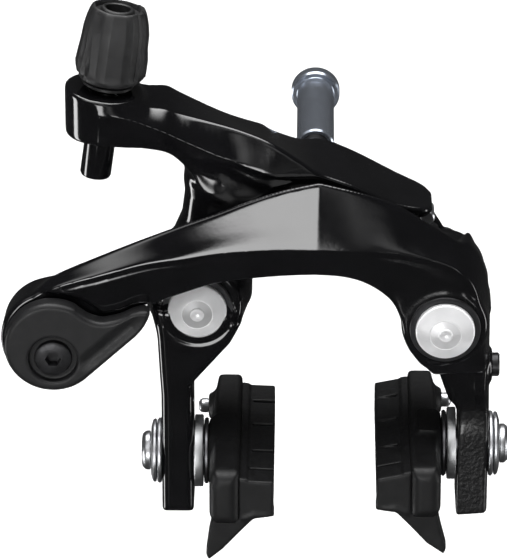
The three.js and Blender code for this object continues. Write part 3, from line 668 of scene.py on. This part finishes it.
def rear_arm():
    # Each station: x, then y and z of the top's rear edge, the top's front edge, the ridge and
    # the lower edge.
    stations = [
        (-44, -18.6, 33, -31.4, 33.2, -32.7, 31.6, -31.4, 24.4),
        (-38, -18.4, 32.6, -29.4, 32.2, -32.5, 30.4, -31, 23.2),
        (-34.5, -18, 32, -28, 31, -32, 28.9, -30.4, 22.5),
        (-30.8, -17, 31.5, -27.4, 30.2, -31.4, 27, -29.8, 21.5),
        (-28, -16, 29.5, -27, 29.1, -31, 25.4, -29.5, 19.5),
        (-22, -14, 25.4, -26.8, 27.4, -30.2, 22.2, -28.6, 13),
        (-15.8, -13, 21.9, -27, 25.6, -29.6, 18.9, -28.4, 10),
        (-9.6, -11.5, 19, -28, 23.4, -29.9, 16.7, -28.4, 9),
        (-3.6, -10.2, 16.4, -28.6, 19.7, -29.4, 16.2, -28.4, 9.4),
        (1, -9.8, 16.3, -28.8, 16.6, -29.1, 15.9, -28.4, 9.2),
        (7.6, -10.4, 14, -28.8, 14, -29, 13.3, -28.4, 7.6),
        (16.6, -12.4, 10, -28.4, 9.8, -28.7, 9.1, -28, 5.8),
        (22, -14.6, 8.2, -27.2, 8.2, -27.4, 7.5, -26.8, 5.2),
        (24.2, -17.4, 7.4, -25, 7.6, -25.4, 7, -25, 5.3),
    ]
    rings = []
    for x, ry, rz, ty, tz, fy, fz, ly, lz in spline(stations, 5):
        # The front under the ridge is flat on the left, and hollow from x -20 on.
        tall = fz - lz
        deep = min(1.0, max(0.0, tall / 8)) * min(1.0, max(0.0, (x + 20) / 6))
        rings.append([
            (x, ry, rz), (x, ty, tz), (x, fy, fz),
            (x, fy + 0.9 * deep, fz - 0.08 * tall - 0.4 * deep),
            (x, fy + 0.6 * deep + 0.2 * (ly - fy), fz - 0.2 * tall - 0.7 * deep),
            (x, ly + 3.4 * deep, fz - 0.75 * tall),
            (x, ly + 4 * deep, lz), (x, ry, lz),
        ])
    field = Field((-53, -35, -62), (26, -8, 37), ARM_GRID)
    beam = field.loft(rings)
    # The boss's top is square to the adjuster, which leans.
    boss_x, boss_radius, boss_low, boss_high = -43.5, 7.95, 24.4, 34.1
    tilted = field.z + np.where(field.z > 29, 1, 0) * (field.x - boss_x) * math.tan(LEAN)
    round_boss = np.hypot(field.x - boss_x, field.y - ADJUST[1]) - boss_radius
    boss = field.depth(round_boss, tilted, boss_low, boss_high, 0.35)
    hub_front, groove_floor = -31.6, -31.3
    hub = field.rod_y(LEFT_PIVOT, HUB_RADIUS, hub_front, HUB_REAR, 0.6)
    side = [(-25.2, 10.5), (-25.9, 5), (-28.4, -1), (-32.4, -8), (-33.4, -14), (-24, -21), (-15, -12.8),
            (-14.8, -7), (-13.8, 1), (-10.2, 9.4)]
    stem = field.plate([(-28.4, 20.6), (-25.9, 17), (-25.3, 14), *side, (-12, 20)], -25, -14.2, 1.2)
    roll = field.plate([(-25.6, 13.6), *side, (-7, 12.6), (-9, 13.8)], -28.6, -20, 3)
    leg = field.plate(
        [(-33.2, -12.6), (-32.7, -20), (-32.3, -28), (-32, -33), (-32, LEG_BOTTOM), (-25.4, LEG_BOTTOM),
         (-25.4, -33), (-25.6, -30.2), (-24.2, -28.5), (-17.6, -20.6), (-15.6, -15.9), (-20, -11)],
        -33.5, -20.5, 1.6,
    )
    body = blend(beam, boss, 2.4)
    body = blend(body, stem, 5)
    body = blend(body, roll, 5)
    body = blend(body, blend(leg, hub, 2.0), 3)
    # A fine groove round the washer.
    groove = np.maximum(field.rod_y(LEFT_PIVOT, 7.5, -50, groove_floor, 0),
                        -field.rod_y(LEFT_PIVOT, 7.2, -FAR, 0, 0))
    body = take(body, groove, 0.2)
    body = take(body, field.rod_y(LEFT_PIVOT, PIVOT_BORE, -FAR, 0, 0), 0.2)
    body = take(body, field.rod_y(middle("link_pin"), 1.6, -24.6, -18.4, 0), 0.1)
    body = take(body, shoe_slot(field, -28.7), 0.3)
    # The cable adjuster's leaning bore.
    bore_radius, bore_low = 3.5, 20
    along = (field.x - ADJUST[0]) * math.cos(LEAN) - (field.z - ADJUST[2]) * math.sin(LEAN)
    bore = np.hypot(along, field.y - ADJUST[1]) - bore_radius
    body = take(body, np.maximum(bore, bore_low - field.z), 0.4)
    body = np.maximum(body, field.y - ARM_REAR)
    return field.mesh("rear_arm_cast", body, 3, 6)


stand_for(front_arm(), "front_arm", "front_arm_body", CAST)
stand_for(rear_arm(), "rear_arm", "rear_arm_body", CAST)


# ---- release lever and cable clamp
def release_lever():
    front, rear = depths("release_lever")
    field = Field((-66, -44, -29), (-32, -37, -5), 0.16)
    body = field.plate(lever_outline(), front, rear, 1.1)
    # The tail's lower side falls away behind a fold that runs from its tip to the head.
    start, end = np.array([-37.0, -8.6]), np.array([-48.0, -18.6])
    run = (end - start) / np.linalg.norm(end - start)
    right, up = field.x - start[0], field.z - start[1]
    past = up * run[0] - right * run[1]
    along = right * run[0] + up * run[1]
    reach = np.clip(along / 4 + 0.3, 0, 1) * np.clip((17.5 - along) / 4, 0, 1)
    hollow = np.interp(past, [-0.4, 0, 1.4, 2.2, 3.4, 4.2], [0, 0.06, 0.62, 0.6, 0.22, 0.2]) * reach
    body = np.maximum(body, (front + hollow - field.y) * 0.9)
    screw_seat, hole = 5.1, 2.4
    body = take(body, field.rod_y(LEVER_AXLE, screw_seat, -FAR, front + 1.5, 0.2), 0.5)
    body = take(body, field.rod_y(LEVER_AXLE, hole, -FAR, 0, 0), 0.2)
    return field.mesh("release_lever_shell", body)


def add_lever():
    stand_for(release_lever(), "release_lever", "lever", SATIN)
    at, clamp_at = foot(LEVER_AXLE), foot(CLAMP)

    front, rear = depths("lever_screw")
    add_turned("lever_screw", [
        (0, front), (3.3, front), (3.75, front + 0.2), (3.9, front + 0.6),
        (3.9, front + 2.2), (1.5, front + 2.2), (1.5, rear), (0, rear),
    ], "lever", BLACK_STEEL, at, cutter=socket(2.9, at[[0, 2]], front - 1, front + 1.9))

    front, rear = depths("lever_axle")
    add_turned("lever_axle", [
        (1.65, front), (2.3, front), (2.3, rear), (0, rear), (0, front + 2.4), (1.65, front + 2.4),
    ], "lever", ZINC, at)

    low, high = node_box("clamp_carrier")
    field = Field(low, high, 0.15)
    halfway = -27.6  # the axle's hole reaches it from the front, and the clamp bolt's from the rear
    front, rear = low[1], high[1]
    carrier = field.rod_y(LEVER_AXLE, 5, front, rear, 0.3)
    carrier = blend(carrier, field.rod_y(CLAMP, 5.4, front, rear, 0.3), 3)
    carrier = take(carrier, field.rod_y(LEVER_AXLE, 2.42, front - 2, halfway, 0), 0.1)
    carrier = take(carrier, field.rod_y(CLAMP, 2.62, halfway, rear + 2, 0), 0.1)
    carrier = field.mesh("clamp_carrier_plate", carrier)
    stand_for(carrier, "clamp_carrier", "lever", BLACK_STEEL)

    (front, rear), under_head = depths("cable_clamp_bolt"), -22.4
    add_turned("cable_clamp_bolt", [
        (0, front), (2.5, front), (2.5, under_head), (3.8, under_head), (4, under_head + 0.2),
        (4, rear - 0.7), (3.5, rear), (0, rear),
    ], "lever", ZINC, clamp_at, cutter=socket(4, clamp_at[[0, 2]], rear - 2.6, rear + 1))

    low, high = node_box("cable_clamp_plate")
    corner = 1.2
    plate = prism("cable_clamp_plate_pressed", [
        (low[0], low[2]), (high[0] - corner, low[2]), (high[0], low[2] + corner),
        (high[0], high[2] - corner), (high[0] - corner, high[2]), (low[0], high[2]),
    ], low[1], high[1])
    soften(plate, 0.3)
    carve(plate, turned("cut", [(0, -30), (2.62, -30), (2.62, -20), (0, -20)], at=clamp_at))
    stand_for(plate, "cable_clamp_plate", "lever", ZINC)


add_lever()


# ---- pivots
def add_pivot(side, ring_tone):
    """A pivot's bolt, with its broad turned head, and the washer, bush and nut on it."""
    at = foot(middle(f"{side}_pivot_bolt"))
    tip, rear = depths(f"{side}_pivot_bolt")
    rim, radius, neck, shank, bush_rear = tip + 1.9, 6.1, 3.95, 3, -9.8
    face = [(0, 0.42), (0.45, 0.36), (0.9, 0.12), (1.2, 0), (1.42, 0.08), (1.5, 0.3), (1.56, 0.34),
            (3.1, 0.42), (3.22, 0.5), (3.32, 0.44)]
    add_turned(f"{side}_pivot_bolt", [
        *[(r, tip + a) for r, a in face], (5.75, rim - 0.12), (5.98, rim), (radius, rim + 0.25),
        (radius, rim + 0.9), (neck, rim + 0.9), (neck, bush_rear), (shank, bush_rear),
        (shank, rear - 0.3), (2.7, rear), (0, rear),
    ], "mounting", turned_alloy(f"turned_{side}", at, ring_tone), at, slot="turned_alloy", sides=128)
    for part, inner, outer, edge, material in (
        ("washer", 4.05, 7.3, 0.12, BLACK_STEEL),
        ("bush", 4.0, 5.1, 0.1, BUSH),
        ("nut", 3.1, 4.5, 0.3, BLACK_STEEL),
    ):
        node = f"{side}_pivot_{part}"
        add_turned(node, bevelled(inner, outer, *depths(node), edge), "mounting", material, at)


add_pivot("left", 0.6)
add_pivot("right", 0.85)


# ---- bracket and mounting hardware
def thread(radius, start, end, pitch=1.0, depth=0.55):
    """Profile points of a screw thread, drawn as ridges."""
    points = []
    along = start
    while along + pitch <= end:
        points += [(radius - depth, along), (radius - depth, along + 0.12 * pitch),
                   (radius, along + 0.5 * pitch), (radius, along + 0.62 * pitch)]
        along += pitch
    return points


def bracket(front, rear):
    low, high = node_box("bracket")
    field = Field(low, high, 0.3)
    web = [(-31.6, -16), (-30, -9.5), (-24.5, -5.4), (-9, 9), (-4, 12.4), (4, 12.4), (9, 9.4), (23.8, 0),
           (28.6, -7), (32.4, -12), (33, -16), (20, -17), (13, -8.6), (6, -6.4), (-4, -6.4),
           (-11, -8.6), (-18, -17)]
    body = field.plate(web, front, rear, 0.7)
    centre = (0, 0, 0)
    for at, radius, edge in ((LEFT_PIVOT, 7.8, 0.6), (RIGHT_PIVOT, 6.6, 0.6), (centre, 10.2, 0.7)):
        body = blend(body, field.rod_y(at, radius, front, rear, edge), 1.5)
    for at, radius in ((LEFT_PIVOT, 3.15), (RIGHT_PIVOT, 3.15), (centre, 3.2)):
        body = take(body, field.rod_y(at, radius, -20, 5, 0), 0.2)
    # The rear falls away outside the right pivot's seat.
    slope = rear - field.y - 0.5 * np.maximum(field.x - 17, 0)
    past_seat = 4.6 - np.hypot(field.x - RIGHT_PIVOT[0], field.z - RIGHT_PIVOT[2])
    body = take(body, np.maximum(slope, past_seat), 0.3)
    body = np.maximum(body, front - field.y)
    for hollow in ([(-20, -6.4), (-11, 3.4), (-10.6, -3.4), (-16, -8.6)],
                   [(11, 4.2), (21, -3.4), (16.6, -8.4), (10.8, -3.2)]):
        body = take(body, field.plate(hollow, rear - 2.2, rear + 3, 0.6), 0.9)
    return field.mesh("bracket_forged", body)


def add_mounting():
    front, rear = depths("bracket")
    stand_for(bracket(front, rear), "bracket", "mounting", GLOSS)

    (head, tip), seat = depths("mounting_bolt"), front - 0.2
    add_turned("mounting_bolt", [
        (0, head), (5.2, head), (5.8, head + 0.3), (6, head + 0.9), (6, seat), (3, seat), (3, 2),
        *thread(3, 2, tip - 1), (2.4, tip), (0, tip),
    ], "mounting", BLACK_STEEL, cutter=socket(4, (0, 0), head - 1, head + 2.4))

    start, end = depths("sleeve_nut")
    rear, flange = end + 0.5, end - 3
    add_turned("sleeve_nut", [
        (3.1, start), (3.7, start), (4.05, start + 0.35), (4.05, flange - 0.1), (4.15, flange), (5, flange),
        (5.35, flange + 0.4), (5.35, rear - 0.7), (5.1, rear - 0.2), (4.7, rear), (3.3, rear),
        (3.05, rear - 0.3), (3.05, rear - 10), (3.1, rear - 10.4),
    ], "mounting", NUT_STEEL, slot="zinc_steel")

    low, high = node_box("serrated_washer")
    teeth, valley, peak = 36, 8.05, high[0]
    outline = []
    for i in range(teeth * 2):
        radius = valley if i % 2 else peak
        turn = TAU * i / teeth / 2
        outline.append((radius * math.cos(turn), radius * math.sin(turn)))
    washer = prism("serrated_washer_pressed", outline, low[1], high[1])
    carve(washer, turned("cut", [(0, -6), (3.2, -6), (3.2, 6), (0, 6)]))
    stand_for(washer, "serrated_washer", "mounting", ZINC)

    low, high = node_box("spring_holder")
    field = Field(low, high, 0.15)
    channel = field.box((low[0] - 3, -15.6, -9.5), (high[0] + 3, -11.2, -6.8), 0.3)
    holder = field.mesh("spring_holder_moulded", take(field.box(low, high, 0.5), channel, 0.3))
    stand_for(holder, "spring_holder", "mounting", PLASTIC)

    route = [(-21.5, -12.3, 2.5), (-15.5, -12.3, -2.5), (-9, -12.3, -7), (0, -14.4, -8.2), (9, -12.3, -7),
             (15.5, -12.3, -3), (20.5, -12.3, 0.6)]
    stand_for(wire("return_spring_wire", route, 0.8), "return_spring", "mounting", SPRING)


def wire(name, route, radius, sides=16):
    """A round wire along a smooth route, with flat ends whose rims are rounded."""
    path = [Vector(p) for p in spline(route, 10)]
    points = []
    for i, here in enumerate(path):
        ahead = (path[min(i + 1, len(path) - 1)] - path[max(i - 1, 0)]).normalized()
        side = ahead.cross(Vector((0, 1, 0))).normalized()
        up = side.cross(ahead)
        for j in range(sides):
            turn = TAU * j / sides
            points.append(here + radius * (math.cos(turn) * side + math.sin(turn) * up))
    last = (len(path) - 1) * sides
    ends = [list(range(sides)), list(range(last, last + sides))]
    piece = new_object(name, points, skin(len(path), sides) + ends)
    soften(piece, 0.2, 60)
    return piece


add_mounting()


# ---- cable adjuster
def adjuster_knob():
    """A fluted rubber sleeve with a tapered crown and a stepped bore."""
    lobes, around, bottom = 8, 192, 8.1
    rows = [  # height, radius, flute depth
        (0, 4.6, 0), (0.05, 5.4, 0), (0.3, 6.2, 0), (0.8, 6.7, 0.1), (1.6, 6.9, 0.3), (1.9, 7, 0.5),
        (3, 7.05, 0.6), (5.5, 7.05, 0.6), (8, 7, 0.6), (11, 6.9, 0.6), (13.2, 6.5, 0.6), (14.6, 6.1, 0.55),
        (15.4, 5.8, 0.5), (15.9, 5.5, 0.45), (16.1, 5.2, 0.4), (16.1, 4.9, 0.2), (15.9, 4.7, 0),
        (15, 4.5, 0), (14.9, 3.6, 0), (15.5, 3.4, 0), (15.8, 3.2, 0), (15.9, 2.9, 0), (15.7, 2.6, 0),
        (12, 2.5, 0), (11.9, 3.3, 0), (0, 3.3, 0),
    ]
    spin = Matrix.Translation(ADJUST) @ Matrix.Rotation(LEAN, 4, "Y")
    points = []
    for up, radius, flute in rows:
        for i in range(around):
            turn = TAU * i / around
            share = (lobes * turn / TAU + 0.35) % 1
            # Each lobe is a flat with a step down to the next one.
            flat = math.cos(math.pi / lobes) / math.cos(math.pi / lobes * (2 * share - 1))
            step = min(1, 6 * min(share, 1 - share))
            r = radius * (1 + (flat - 1) * min(1, flute * 2)) - flute * 0.55 * (1 - step)
            if flute and abs(share - 0.5) < 0.42:
                if math.cos(turn) > 0.8:
                    r += (0.55 if up > 7 else 0.85) * min(1, flute * 2)
                if math.cos(turn) < -0.7:
                    r += 0.6 * max(0, 1 - abs(up - 3) / 6) if up > 1.7 else -0.5
            # The crown is lower at its rear.
            height = up - 0.15 * max(0, r * math.sin(turn)) * min(1, up / 14)
            points.append(spin @ Vector((r * math.cos(turn), r * math.sin(turn), bottom + height)))
    piece = new_object("adjuster_knob_fluted", points, skin(len(rows), around, closed=True))
    sharpen(piece, 50)
    return piece


def add_adjuster():
    stand_for(adjuster_knob(), "adjuster_knob", "knob", KNOB)
    add_turned("adjuster_barrel", [
        (1.3, -13.8), (2.6, -13.8), (3.0, -13.65), (3.2, -13.2), (3.2, -4),
        *thread(3.2, -4, 19, 0.75, 0.35), (3.2, 20), (2.6, 20.4), (1.3, 20.4),
    ], "barrel", GLOSS, ADJUST, "z", slot="black_steel", lean=LEAN)
    add_turned("adjuster_seal", [
        (3.4, 6.9), (5.1, 6.9), (5.4, 7.1), (5.4, 7.6), (5.1, 7.8), (3.4, 7.8),
    ], "rear_arm_body", PLASTIC, ADJUST, "z", made="ring", lean=LEAN)

    add_turned("link_pin", bevelled(0, 1.5, *depths("link_pin"), 0.3), "rear_arm_body", ZINC,
               foot(middle("link_pin")), made="ground")

    low, high = node_box("centring_screw")
    at = middle("centring_screw") * (0, 1, 1)
    tip, head = low[0], high[0]
    add_turned("centring_screw", [
        (0, tip), (1.6, tip), (1.6, head - 1.7), (2.3, head - 1.7), (2.5, head - 1.5),
        (2.5, head - 0.35), (2.2, head), (0, head),
    ], "centring", BLACK_STEEL, at, "x", socket(2, at[1:], head - 1.2, head + 1, "x"))


add_adjuster()


# ---- brake shoes
def add_shoe(side):
    """One shoe, drawn by distances inward from its leg's face, so that the two are mirror images."""
    inward = 1 if side == "left" else -1
    face = -25.4 if side == "left" else 30.0
    # The two shoes differ a little, and each bolt sits up in its slot by its lift.
    pad_top, fin_tip, holder_top, lift = (3.9, 2.9, 0.7, 0.45) if side == "left" else (3.0, 2.3, 0.2, 0.9)
    at = middle(f"{side}_shoe_bolt")
    raised = at + (0, 0, lift)
    axis = (face, raised[1], raised[2])
    clamp, shoe = f"{side}_shoe_clamp", f"{side}_shoe"

    def x(along):
        return face + inward * along

    def span(start, end):
        return sorted((x(start), x(end)))

    def mirrored(profile, start=0):
        return [(radius, inward * (start + along)) for radius, along in profile]

    def section(points, start, end, edge):
        """A bar along Y from an outline of distances inward and heights."""
        outline = [(x(a), at[2] + b) for a, b in points]
        return field.depth(field.outline(outline), field.y, start, end, edge)

    outer = -LEG_THICK
    for part, body, material, slot, start, profile in (
        ("outer_seat", clamp, ZINC, "zinc_steel", outer, [
            (2.7, -2.4), (5.2, -2.4), (6.3, -2.1), (6.7, -1.8), (6.7, -1.4), (6.5, -1.3), (2.7, -1.3)]),
        ("outer_cup", clamp, ZINC, "black_steel", outer, [
            (2.75, -1.1), (6.5, -1.1), (6.9, -0.8), (6.9, -0.4), (6.7, -0.2), (2.75, -0.2)]),
        ("inner_cup", f"{side}_tilt_washer", DARK_STEEL, "black_steel", 0, [
            (2.75, 2.2), (6.6, 2.2), (7, 2.5), (7, 2.9), (6.8, 3.1), (2.75, 3.1)]),
        ("inner_seat", clamp, GRIT_STEEL, "zinc_steel", 0, [
            (2.75, 0.2), (7.5, 0.2), (7.65, 0.35), (7.65, 1.8), (7.5, 2.0), (2.75, 2.0)]),
    ):
        add_turned(f"{side}_{part}_washer", mirrored(profile, start), body, material, axis, "x", slot=slot)

    head, tip = outer - 2.6, 7.4
    bolt = mirrored([(0, -1.8), (2.9, -1.8), (3.5, -1.65), (4, -1.1), (4.15, -0.8), (4.15, -0.1),
                     (4.05, 0), (2.5, 0)], head) + mirrored([(2.5, tip), (0, tip)])
    add_turned(f"{side}_shoe_bolt", bolt, clamp, ZINC, axis, "x",
               socket(4, raised[1:], x(head - 3), x(head - 0.6), "x"))

    low, high = node_box(f"{side}_shoe_holder")
    half, (front, rear) = (high[2] - low[2]) / 2, depths(f"{side}_shoe_holder")
    top = half + holder_top
    field = Field(low, high, 0.2)
    body = section([(4.6, -half - 0.7), (9.3, -half - 0.7), (10, -half + 0.2), (10, top - 0.5), (9.5, top),
                    (4.6, top), (3.4, half - 2.2), (3.4, -half + 1.4)], front, rear, 2.4)
    # The outer face falls back behind the washer's seat.
    across = inward * (field.x - face)
    behind = np.maximum(field.y - rear + 15, 0)
    body = take(body, across - 3.4 - 0.1 * behind, 0.8)
    body = blend(body, field.rod_x(raised, 7, *span(3.3, 8), 0.5), 1.6)
    body = take(body, field.rod_x(raised, 3.1, *span(0, 7.9), 0), 0.2)
    screw = middle(f"{side}_pad_screw")
    body = blend(body, field.rod_x(screw, 2.6, *span(2.6, 8), 0.6), 2.6)
    body = take(body, field.rod_x(screw, 1.35, *span(0, 7), 0), 0.1)
    holder = field.mesh(f"{side}_shoe_holder_cast", body, 5, 4)
    stand_for(holder, f"{side}_shoe_holder", shoe, HOLDER)

    low, high = node_box(f"{side}_brake_pad")
    front, rear, rim = low[1], high[1], 17.0
    field = Field(low - 1, high + 1, 0.2)
    across = inward * (field.x - face)
    pad = section([(9.7, -5), (11.4, -4.9), (11.8, -4.7), (rim, -3.9), (rim, pad_top), (11.8, 4.1),
                   (11.4, 4.5), (9.7, 4.7)], front - 0.5, rear, 0.5)
    # Water grooves in the braking face, and a step round the pad near its front.
    for y in (-6.7, 5.2, 15.9):
        groove = np.maximum(np.abs(field.y - SHOE_Y - y) - 0.4, 12.4 - across)
        groove = np.maximum(groove, -(np.abs(field.z - at[2]) - 3.1))
        pad = take(pad, groove, 0.2)
    pad = take(pad, np.maximum(np.abs(field.y - front - 5.2) - 0.25, 11.8 - across), 0.2)
    fin = [(3.5, -8.6), (fin_tip, -13.4), (fin_tip + 0.5, -14.8), (6.4, -12.2), (9.9, -8.2), (13, -4.8),
           (17, -4.2), (13, -3.4), (9.9, -5.2), (4.2, -5.2)]
    pad = blend(pad, section(fin, front - 0.4, front + 3.6, 0.4), 1.0)
    stand_for(field.mesh(f"{side}_brake_pad_moulded", pad), f"{side}_brake_pad", shoe, PAD)

    start = x(0.5)
    small = [(0, 0), (0.8, 0.05), (1.3, 0.35), (1.55, 0.9), (1.55, 2.1), (1.3, 2.1), (1.3, 6.1), (0, 6.1)]
    add_turned(f"{side}_pad_screw", mirrored(small), shoe, ZINC, (start, screw[1], screw[2]), "x",
               socket(1.3, screw[1:], start - inward, start + inward * 0.9, "x"), sides=48)


add_shoe("left")
add_shoe("right")


# ---- studio
def add_floor():
    bpy.ops.mesh.primitive_plane_add(size=12, location=(0, 0, -0.16))
    floor = bpy.context.object
    floor.name = "studio_floor"
    paint = Paint("studio_floor", Roughness=0.7)
    paint.vary_color(paint.noise(60, 2), (0.855, 0.855, 0.855), (0.865, 0.865, 0.865))
    floor.data.materials.append(paint.material)
    floor.visible_glossy = False
    floor.visible_shadow = False


AIM = Vector((0, -0.02, -0.01))
SOFTBOXES = (  # name, place, width, height, watts, the share of each half that fades out
    ("overhead", (0, 0.1, 2.4), 3.4, 3.4, 240, 0.5),
    ("front", (-0.5, -2.4, -0.2), 1.6, 1.2, 42, 0.5),
    ("upper_front", (-0.2, -1.6, 1.6), 2.8, 1.6, 24, 1.0),
    ("upper_left", (-1.3, -1.3, 1.4), 1.8, 1.6, 22, 1.0),
    ("rear_arm_fill", (0.25, -2.2, 0.65), 1.3, 0.8, 3, 1.0),
    ("right_front", (0.7, -2.1, 0.2), 1.0, 1.0, 1.4, 1.0),
    ("low_strip", (-0.78, -2.05, -1.05), 0.22, 0.5, 0.7, 1.0),
    ("ridge_front", (0.8, -2.2, -0.2), 0.6, 0.5, 4, 1.0),
    ("left_strip", (-2.1, 0.0, -0.95), 0.7, 1.6, 26, 0.5),
    ("right_strip", (2.2, -0.3, -0.5), 0.6, 1.8, 18, 0.5),
)


def add_softbox(name, place, width, height, watts, fade):
    """An area light that dims towards its edges."""
    light = bpy.data.lights.new(name, "AREA")
    light.shape = "RECTANGLE"
    light.size, light.size_y, light.energy = width, height, watts
    light.use_nodes = True
    tree = light.node_tree
    split = tree.nodes.new("ShaderNodeSeparateXYZ")
    tree.links.new(tree.nodes.new("ShaderNodeNewGeometry").outputs["Parametric"], split.inputs[0])
    edges = []
    for letter in "XY":
        off_centre = maths(tree, "ABSOLUTE", maths(tree, "SUBTRACT", split.outputs[letter], 0.5))
        ramp = tree.nodes.new("ShaderNodeMapRange")
        ramp.interpolation_type = "SMOOTHSTEP"
        set_inputs(ramp, From_Min=0.5, From_Max=0.5 - 0.5 * fade)
        tree.links.new(off_centre, ramp.inputs["Value"])
        edges.append(ramp.outputs["Result"])
    tree.links.new(maths(tree, "MULTIPLY", *edges), tree.nodes["Emission"].inputs["Strength"])
    box = bpy.data.objects.new(name, light)
    box.location = place
    box.rotation_mode = "QUATERNION"
    box.rotation_quaternion = (AIM - Vector(place)).to_track_quat("-Z", "Y")
    box.visible_camera = False
    bpy.context.scene.collection.objects.link(box)


def add_studio():
    world = bpy.data.worlds.new("studio")
    world.use_nodes = True
    tree = world.node_tree
    background = tree.nodes["Background"]
    set_inputs(background, Color=(1, 1, 1, 1))
    # Dark all round, so that the paint shows the softboxes, yet white behind the part.
    path = tree.nodes.new("ShaderNodeLightPath")
    strength = tree.nodes.new("ShaderNodeMapRange")
    set_inputs(strength, To_Min=0.03)
    tree.links.new(path.outputs["Is Camera Ray"], strength.inputs["Value"])
    tree.links.new(strength.outputs["Result"], background.inputs["Strength"])
    bpy.context.scene.world = world
    bpy.context.scene.view_settings.view_transform = "Standard"
    add_floor()
    for softbox in SOFTBOXES:
        add_softbox(*softbox)


def add_camera():
    """The photograph's view: from 26 degrees above and a metre away, through a long lens."""
    elevation, turn, distance = math.radians(26), math.radians(0.7), 1.0
    target = (cad_low + cad_high) / 2 + Vector((-0.0009, -0.0219, -0.0078))
    data = bpy.data.cameras.new("camera")
    data.lens, data.sensor_width = 306.6, 36
    data.clip_start, data.clip_end = 0.1, 20
    camera = bpy.data.objects.new("camera", data)
    level = math.cos(elevation)
    ahead = Vector((-math.sin(turn) * level, math.cos(turn) * level, -math.sin(elevation)))
    camera.location = target - distance * ahead
    camera.rotation_mode = "QUATERNION"
    camera.rotation_quaternion = ahead.to_track_quat("-Z", "Y")
    bpy.context.scene.collection.objects.link(camera)
    bpy.context.scene.camera = camera


add_studio()
add_camera()
